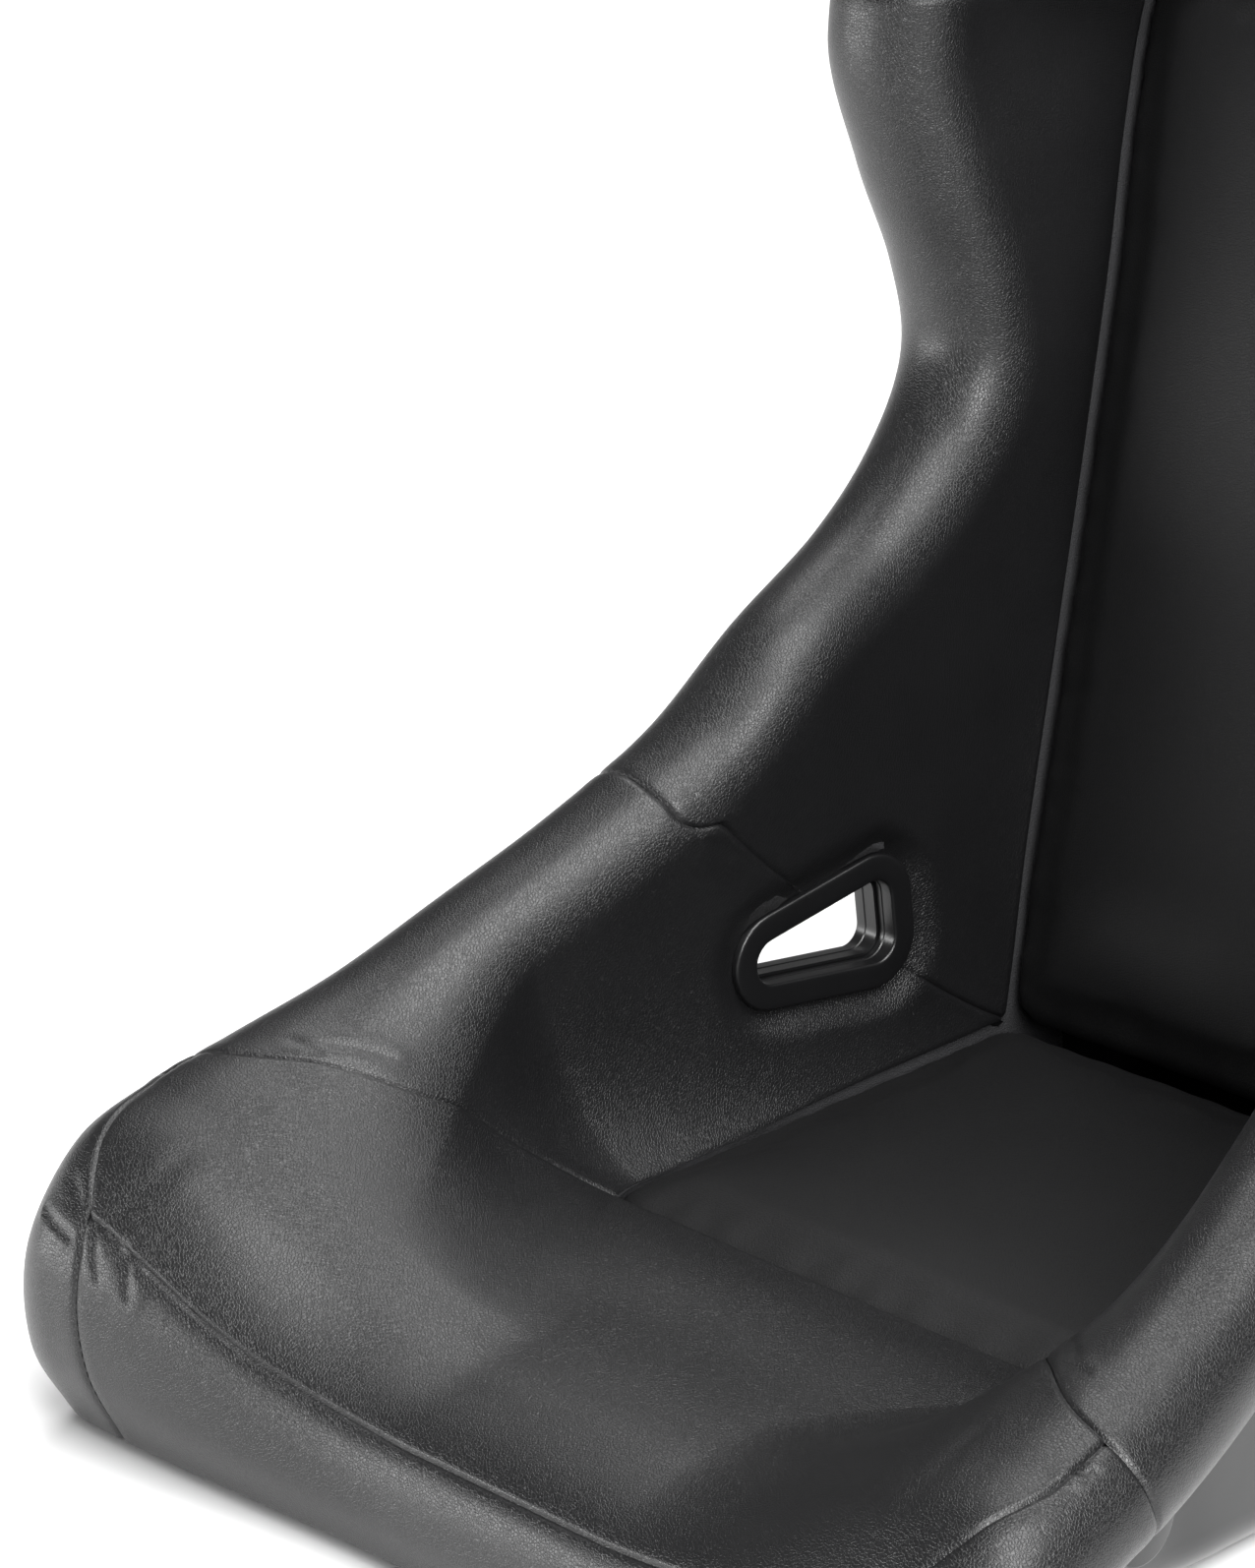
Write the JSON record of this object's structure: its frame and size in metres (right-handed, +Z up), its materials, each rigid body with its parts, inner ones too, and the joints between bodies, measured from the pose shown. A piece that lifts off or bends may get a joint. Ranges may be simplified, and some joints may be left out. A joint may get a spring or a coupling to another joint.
{
  "type": "racing seat",
  "caption": "Fixed-back bucket racing seat: moulded shell with high bolsters, padded sewn cover, loose base cushion and back pad, and slots for lap and shoulder belts.",
  "frame": {"origin": "on the flat base, midway between the four side mounting threads in plan", "axes": "+X is the sitter's left, -Y the front of the seat, +Z up"},
  "size_m": [0.5872, 0.8315, 0.9088],
  "materials": {
    "laminate": "glass-fibre reinforced polyester with a black gelcoat",
    "steel": "zinc plated steel plate",
    "insert": "turned steel thread insert",
    "foam": "charcoal polyurethane foam",
    "vinyl": "black grained PVC-coated cloth, semi-matt",
    "cushion_vinyl": "black grained PVC-coated cloth, semi-matt",
    "bezel": "black moulded ABS with a fine satin texture",
    "bead": "black rubber cord in a vinyl sleeve",
    "hook_strip": "woven nylon hook-and-loop tape"
  },
  "bodies": {
    "root": {"shell": "laminate", "mount_plate_left": "steel", "mount_plate_right": "steel", "mount_inserts_left": "insert", "mount_inserts_right": "insert", "front_roll_foam": "foam", "thigh_foam_left": "foam", "thigh_foam_right": "foam", "torso_foam_left": "foam", "torso_foam_right": "foam", "head_foam": "foam", "front_panel_upper": "vinyl", "front_panel_lower": "vinyl", "side_panel_left": "vinyl", "side_panel_right": "vinyl", "thigh_cover_left": "vinyl", "thigh_cover_right": "vinyl", "torso_cover_left": "vinyl", "torso_cover_right": "vinyl", "head_cover": "vinyl", "base_cushion_foam": "foam", "base_cushion_cover": "cushion_vinyl", "back_pad_foam": "foam", "back_pad_cover": "cushion_vinyl", "lap_bezel_inner_left": "bezel", "lap_bezel_inner_right": "bezel", "lap_bezel_outer_left": "bezel", "lap_bezel_outer_right": "bezel", "shoulder_bezel_inner_left": "bezel", "shoulder_bezel_inner_right": "bezel", "shoulder_bezel_outer_left": "bezel", "shoulder_bezel_outer_right": "bezel", "edge_bead_left": "bead", "edge_bead_right": "bead", "cushion_hook_strips": "hook_strip", "back_hook_strips": "hook_strip"}
  },
  "joints": []
}
